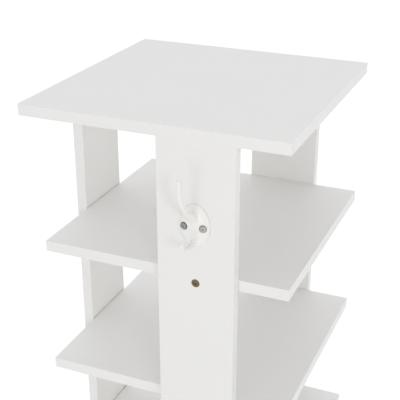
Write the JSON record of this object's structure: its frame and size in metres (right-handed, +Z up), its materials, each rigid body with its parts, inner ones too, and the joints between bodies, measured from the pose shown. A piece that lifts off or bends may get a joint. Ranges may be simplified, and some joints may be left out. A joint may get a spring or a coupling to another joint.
{
  "type": "shoe rack",
  "caption": "Tall square shoe tower of white board: open shelves held between narrow uprights under an overhanging top, with a double coat hook on the front upright.",
  "frame": {"origin": "on the floor, under the middle of the whole object's box, coat hook included", "axes": "+Z up; -Y to the front, where the coat hook is; +X to the open side"},
  "size_m": [0.35, 0.399, 1.33],
  "materials": {
    "board": "white melamine-faced particleboard with white edge bands, satin",
    "hook": "white enamel on a zinc casting, half gloss",
    "hook_screw": "plain zinc-plated steel",
    "shelf_screw": "bronzed steel",
    "cam": "raw zinc casting",
    "cam_bolt": "plain zinc-plated steel",
    "dowel": "raw beech",
    "glide": "white nylon"
  },
  "bodies": {
    "root": {"top_panel": "board", "shelf_1": "board", "shelf_2": "board", "shelf_3": "board", "shelf_4": "board", "shelf_5": "board", "shelf_6": "board", "shelf_7": "board", "upright_left": "board", "upright_front": "board", "upright_back": "board", "shelf_1_screw_front": "shelf_screw", "shelf_2_screw_front": "shelf_screw", "shelf_3_screw_front": "shelf_screw", "shelf_4_screw_front": "shelf_screw", "shelf_5_screw_front": "shelf_screw", "shelf_6_screw_front": "shelf_screw", "shelf_7_screw_front": "shelf_screw", "shelf_1_screw_back": "shelf_screw", "shelf_2_screw_back": "shelf_screw", "shelf_3_screw_back": "shelf_screw", "shelf_4_screw_back": "shelf_screw", "shelf_5_screw_back": "shelf_screw", "shelf_6_screw_back": "shelf_screw", "shelf_7_screw_back": "shelf_screw", "shelf_1_screw_left": "shelf_screw", "shelf_2_screw_left": "shelf_screw", "shelf_3_screw_left": "shelf_screw", "shelf_4_screw_left": "shelf_screw", "shelf_5_screw_left": "shelf_screw", "shelf_6_screw_left": "shelf_screw", "shelf_7_screw_left": "shelf_screw", "cam_front": "cam", "cam_back": "cam", "cam_left": "cam", "cam_bolt_front": "cam_bolt", "cam_bolt_back": "cam_bolt", "cam_bolt_left": "cam_bolt", "dowel_front_a": "dowel", "dowel_front_b": "dowel", "dowel_back_a": "dowel", "dowel_back_b": "dowel", "dowel_left_a": "dowel", "dowel_left_b": "dowel", "glide_front_a": "glide", "glide_front_b": "glide", "glide_back_a": "glide", "glide_back_b": "glide", "glide_left_a": "glide", "glide_left_b": "glide", "coat_hook": "hook", "hook_screw_a": "hook_screw", "hook_screw_b": "hook_screw"}
  },
  "joints": []
}
